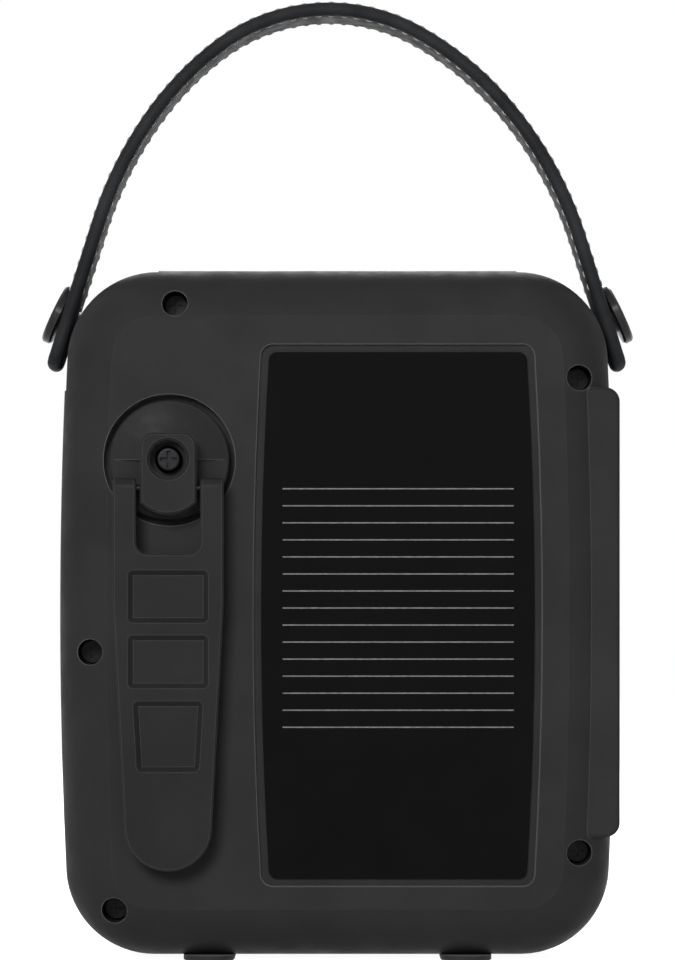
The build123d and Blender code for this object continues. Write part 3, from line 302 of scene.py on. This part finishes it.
def ink():
    """Grey printing ink."""
    mat, tree, shader = new_material("rule_ink", grey(0.2), 0.6)
    paint(tree, shader, ramp(tree, noise(tree, 900, 2), grey(0.15), grey(0.24)))
    return mat


# ---- a finish for every slot -------------------------------------------------------------------
CHARCOAL = (0.042, 0.042, 0.0425)
FINISHES = {
    "shell": lambda: grained_plastic("shell_plastic", CHARCOAL, 0.5),
    "crank_plastic": lambda: grained_plastic("crank_plastic", (0.027, 0.027, 0.0275), 0.4,
                                             specular=0.06),
    "label": lambda: smooth_plastic("label_black", (0.0068, 0.0068, 0.0072), 0.55, 0.02),
    "rubber": lambda: soft_rubber("soft_rubber", (0.018, 0.018, 0.019)),
    "button_rubber": lambda: soft_rubber("button_rubber", (0.045, 0.045, 0.048)),
    "steel_dark": lambda: brushed_metal("black_oxide", (0.014, 0.014, 0.015), 0.38),
    "steel": lambda: brushed_metal("bright_steel", (0.5, 0.5, 0.52), 0.28),
    "brass": lambda: brushed_metal("bush_brass", (0.62, 0.44, 0.18), 0.3),
    "socket_steel": lambda: brushed_metal("socket_steel", (0.6, 0.6, 0.62), 0.25),
    "stud_metal": lambda: brushed_metal("stud_steel", (0.25, 0.25, 0.26), 0.3),
    "cap_metal": lambda: smooth_plastic("cap_black", (0.01, 0.01, 0.011), 0.22, 0.25),
    "gear_nylon": lambda: smooth_plastic("gear_nylon", (0.72, 0.7, 0.64), 0.45),
    "inner_plastic": lambda: smooth_plastic("inner_black", (0.05, 0.05, 0.052), 0.5),
    "cell_wrap": lambda: smooth_plastic("cell_foil", (0.3, 0.33, 0.37), 0.3),
    "board_green": lambda: circuit_board("solder_mask", (0.012, 0.09, 0.035)),
    "blue_plastic": lambda: smooth_plastic("tongue_blue", (0.01, 0.07, 0.42), 0.4),
    "black_plastic": lambda: smooth_plastic("tongue_black", (0.012, 0.012, 0.013), 0.4),
    "lens_white": lambda: opal("lamp_opal", (0.8, 0.8, 0.77)),
    "led": lambda: smooth_plastic("led_phosphor", (0.75, 0.62, 0.12), 0.35),
    "clear_lens": lambda: clear_plastic("clear_lens", (0.95, 0.96, 0.97)),
    "mirror": lambda: brushed_metal("reflector_chrome", (0.85, 0.85, 0.86), 0.12, (1, 1, 1)),
    "leather": lambda: leather("strap_leather", (0.03, 0.031, 0.034)),
}


def finish_nodes():
    """Gives every CAD node the material of its slot."""
    made = {}
    slots = {row["node"]: row["material_slot"] for row in frame["record"]["subparts"]}
    for node, slot in slots.items():
        if slot not in made:
            made[slot] = FINISHES[slot]()
        obj = frame["nodes"][node]
        for holder in obj.material_slots:
            holder.material = made[slot]
        if not obj.material_slots:
            obj.data.materials.append(made[slot])
    return made


def place_mesh(name, bm, smooth=False):
    """Turns the shape that was drawn into an object of the scene."""
    mesh = bpy.data.meshes.new(name)
    bm.to_mesh(mesh)
    bm.free()
    for polygon in mesh.polygons:
        polygon.use_smooth = smooth
    obj = bpy.data.objects.new(name, mesh)
    bpy.context.scene.collection.objects.link(obj)
    return obj


def add_piece(obj, material, body):
    """Gives an object its material and lets it ride on a body."""
    obj.data.materials.append(material)
    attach(obj, body)


def bridge(bm, one, two):
    """Faces between two closed rings of as many points."""
    for k in range(len(one)):
        n = (k + 1) % len(one)
        bm.faces.new((one[k], one[n], two[n], two[k]))


# ---- strap -------------------------------------------------------------------------------------
def strap_half(side):
    """Centre line of one half of the strap from its top: (length, x, z, angle below level)."""
    x, z, start, run = STRAP_TOP[0], STRAP_TOP[1] - STRAP_T / 2, 0.0, 0.0
    stations = []
    for radius, turn in zip(STRAP_RADII, STRAP_TURNS[side]):
        r, sweep = radius - STRAP_T / 2, radians(turn)
        steps = max(ARC_MIN_STEPS, int(r * sweep / ARC_STEP))
        for k in range(steps):
            a = start + sweep * k / steps
            stations.append((run + r * (a - start), x + side * r * (sin(a) - sin(start)),
                             z - r * (cos(start) - cos(a)), a))
        x += side * r * (sin(start + sweep) - sin(start))
        z -= r * (cos(start) - cos(start + sweep))
        run += r * sweep
        start += sweep
    straight = (z - STRAP_END_Z) / sin(start)
    for k in range(STRAIGHT_STEPS + 1):
        # closer stations near the end, where the tab rounds off
        d = straight * (1 - (1 - k / STRAIGHT_STEPS) ** STRAIGHT_CROWD)
        stations.append((run + d, x + side * d * cos(start), z - d * sin(start), start))
    return stations, run + straight


def strap_line():
    """Stations of the whole strap from the left end to the right end, and its length."""
    left, left_len = strap_half(-1)
    right, right_len = strap_half(1)
    line = [(left_len - s, x, z, -a) for s, x, z, a in reversed(left)]
    line += [(left_len + s, x, z, a) for s, x, z, a in right[1:]]
    return line, left_len + right_len


def strap_section(across, half_w, thick):
    """Height of either face over the strap's middle, at a place across its width."""
    edge = thick / 2
    inside = half_w - abs(across)
    if inside < edge:
        round_off = sqrt(max(0.0, edge * edge - (edge - inside) ** 2))
    else:
        round_off = edge
    pad = PAD_RISE * (1 - (across / half_w) ** 2)
    groove = GROOVE_DEPTH * max(0.0, 1 - ((inside - STITCH_INSET) / GROOVE_HALF_W) ** 2)
    return max(0.0, round_off + pad - groove - FACE_DROP)


def strap_width(s, length):
    """Half width at a distance along the strap: the ends are round tabs."""
    d = min(s, length - s)
    if d >= STRAP_TAB_R:
        return STRAP_W / 2
    d = max(d, 0.0)
    return STRAP_W / 2 - STRAP_TAB_R + sqrt(STRAP_TAB_R**2 - (STRAP_TAB_R - d) ** 2)


def strap_point(station, across, height):
    """A point of the strap in metres: across its width, height above its middle line."""
    _, x, z, a = station
    return Vector((x + sin(a) * height, SEAM_Y + across, z + cos(a) * height)) * MM


def station_at(line, s):
    """The station at a distance along the strap, between the two nearest."""
    for before, after in zip(line, line[1:]):
        if before[0] <= s <= after[0]:
            t = (s - before[0]) / max(1e-9, after[0] - before[0])
            return tuple(p + (q - p) * t for p, q in zip(before, after))
    return line[-1]


def make_strap(material):
    """The padded leather band, its line of stations and its length."""
    line, length = strap_line()
    bm = bmesh.new()
    rings = []
    for station in line:
        half = max(STRAP_TAB_MIN, strap_width(station[0], length))
        end_fade = min(1.0, max(0.0, min(station[0], length - station[0])) / (LEATHER_T / 2))
        thick = LEATHER_T * sqrt(max(0.02, 1 - (1 - end_fade) ** 2))
        places = [-half * cos(pi * k / STRAP_COLUMNS) for k in range(STRAP_COLUMNS + 1)]
        top = [strap_point(station, u, strap_section(u, half, thick)) for u in places]
        bottom = [strap_point(station, u, -strap_section(u, half, thick)) for u in places[-2:0:-1]]
        rings.append([bm.verts.new(p) for p in top + bottom])
    for one, two in zip(rings, rings[1:]):
        bridge(bm, one, two)
    bm.faces.new(rings[0][::-1])
    bm.faces.new(rings[-1])
    bmesh.ops.recalc_face_normals(bm, faces=bm.faces)
    band = place_mesh("strap_leather", bm, smooth=True)
    add_piece(band, material, "carry_strap")
    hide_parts("strap")
    return line, length


def make_stitches(line, length, material):
    """Two rows of saddle stitches on each face of the strap."""
    bm = bmesh.new()
    pitch = STITCH_LEN + STITCH_GAP
    count = int((length - 2 * STITCH_START) / pitch)
    first = (length - count * pitch) / 2
    for face in (-1, 1):
        for row in (-1, 1):
            for n in range(count):
                add_stitch(bm, line, first + n * pitch, row, face)
    add_piece(place_mesh("strap_stitches", bm, smooth=True), material, "carry_strap")


def add_stitch(bm, line, s, row, face):
    """One stitch: a short thread that dives into the leather at both ends."""
    across = row * (STRAP_W / 2 - STITCH_INSET)
    surface = strap_section(across, STRAP_W / 2, LEATHER_T)
    rings = []
    for k in range(THREAD_RINGS):
        t = k / (THREAD_RINGS - 1)
        station = station_at(line, s + STITCH_LEN * t)
        lift = THREAD_R * (1.1 * sin(pi * t) - 0.35)
        radius = THREAD_R * (0.55 + 0.45 * sin(pi * t))
        ring = []
        for j in range(THREAD_SIDES):
            b = 2 * pi * j / THREAD_SIDES
            ring.append(bm.verts.new(strap_point(
                station, across + radius * cos(b), face * (surface + lift + radius * sin(b)))))
        rings.append(ring)
    for one, two in zip(rings, rings[1:]):
        bridge(bm, one, two)
    bm.faces.new(rings[0])
    bm.faces.new(rings[-1][::-1])


# ---- label -------------------------------------------------------------------------------------
def make_rules(material):
    """The thin printed rules across the label."""
    bm = bmesh.new()
    for n in range(RULE_COUNT):
        z = RULE_TOP_Z - n * RULE_PITCH
        corners = []
        for y in (LABEL_FACE_Y, LABEL_FACE_Y - RULE_T):
            for x, dz in ((RULE_X[0], -1), (RULE_X[1], -1), (RULE_X[1], 1), (RULE_X[0], 1)):
                corners.append(bm.verts.new(Vector((x, y, z + dz * RULE_W / 2)) * MM))
        low, high = corners[:4], corners[4:]
        bm.faces.new(low)
        bm.faces.new(high[::-1])
        bridge(bm, low, high)
    bmesh.ops.recalc_face_normals(bm, faces=bm.faces)
    add_piece(place_mesh("label_rules", bm), material, "case")


# ---- studio ------------------------------------------------------------------------------------
def area_light(name, place, size, power):
    """A soft square lamp aimed at the middle of the object."""
    lamp = bpy.data.lights.new(name, "AREA")
    lamp.size = size
    lamp.energy = power
    obj = bpy.data.objects.new(name, lamp)
    bpy.context.scene.collection.objects.link(obj)
    obj.location = place
    aim = Vector(LAMP_TARGET) - Vector(place)
    obj.rotation_euler = aim.to_track_quat("-Z", "Y").to_euler()


def seen_directly(tree):
    """1 for camera, glossy and transmission rays, 0 for the rays that light the object."""
    path = tree.nodes.new("ShaderNodeLightPath")
    total = None
    for name in ("Is Camera Ray", "Is Glossy Ray", "Is Transmission Ray"):
        if total is None:
            total = path.outputs[name]
            continue
        add = tree.nodes.new("ShaderNodeMath")
        add.operation = "MAXIMUM"
        tree.links.new(total, add.inputs[0])
        tree.links.new(path.outputs[name], add.inputs[1])
        total = add.outputs[0]
    return total


def split_by_ray(tree, unseen, seen, output):
    """One shader for the rays that light the object and another for those that see it."""
    mix = tree.nodes.new("ShaderNodeMixShader")
    tree.links.new(seen_directly(tree), mix.inputs["Fac"])
    tree.links.new(unseen, mix.inputs[1])
    tree.links.new(seen, mix.inputs[2])
    tree.links.new(mix.outputs["Shader"], tree.nodes[output].inputs["Surface"])


def make_camera():
    """The photograph's view."""
    lens = bpy.data.cameras.new("camera")
    lens.sensor_fit = "VERTICAL"
    lens.sensor_height = SENSOR
    height = FRAME_H / PIXELS_PER_MM * MM
    lens.lens = SENSOR * (CAMERA_AWAY + OUTLINE_Y) / height
    lens.shift_y = (AXIS_PIXEL_Y - FRAME_H / 2) / FRAME_H
    camera = bpy.data.objects.new("camera", lens)
    bpy.context.scene.collection.objects.link(camera)
    camera.location = (0, SEAM_Y * MM - CAMERA_AWAY, CAMERA_Z)
    camera.rotation_euler = (pi / 2, 0, 0)
    bpy.context.scene.camera = camera


def make_world():
    """White where it is seen, and a dim light on the object."""
    world = bpy.data.worlds.new("world")
    bpy.context.scene.world = world
    world.use_nodes = True
    tree = world.node_tree
    dim = tree.nodes["Background"]
    white = tree.nodes.new("ShaderNodeBackground")
    for node, strength in ((dim, WORLD_LIGHT), (white, WORLD_SEEN)):
        node.inputs["Color"].default_value = (1, 1, 1, 1)
        node.inputs["Strength"].default_value = strength
    split_by_ray(tree, dim.outputs["Background"], white.outputs["Background"], "World Output")


def make_floor():
    """A plain white floor, which glows only where it is seen."""
    bm = bmesh.new()
    bmesh.ops.create_grid(bm, x_segments=1, y_segments=1, size=FLOOR_HALF)
    floor = place_mesh("floor", bm)
    mat, tree, shader = new_material("floor_white", grey(FLOOR_GREY), 0.9)
    glow = tree.nodes.new("ShaderNodeEmission")
    glow.inputs["Strength"].default_value = FLOOR_GLOW
    lit = tree.nodes.new("ShaderNodeAddShader")
    tree.links.new(shader.outputs["BSDF"], lit.inputs[0])
    tree.links.new(glow.outputs["Emission"], lit.inputs[1])
    split_by_ray(tree, shader.outputs["BSDF"], lit.outputs["Shader"], "Material Output")
    floor.data.materials.append(mat)


made = finish_nodes()
strap_stations, strap_length = make_strap(made["leather"])
make_stitches(strap_stations, strap_length, thread_material())
make_rules(ink())

bpy.context.scene.view_settings.view_transform = "Standard"
make_camera()
for lamp_name, (lamp_place, lamp_size, lamp_power) in LAMPS.items():
    area_light(lamp_name, lamp_place, lamp_size, lamp_power)
make_world()
make_floor()
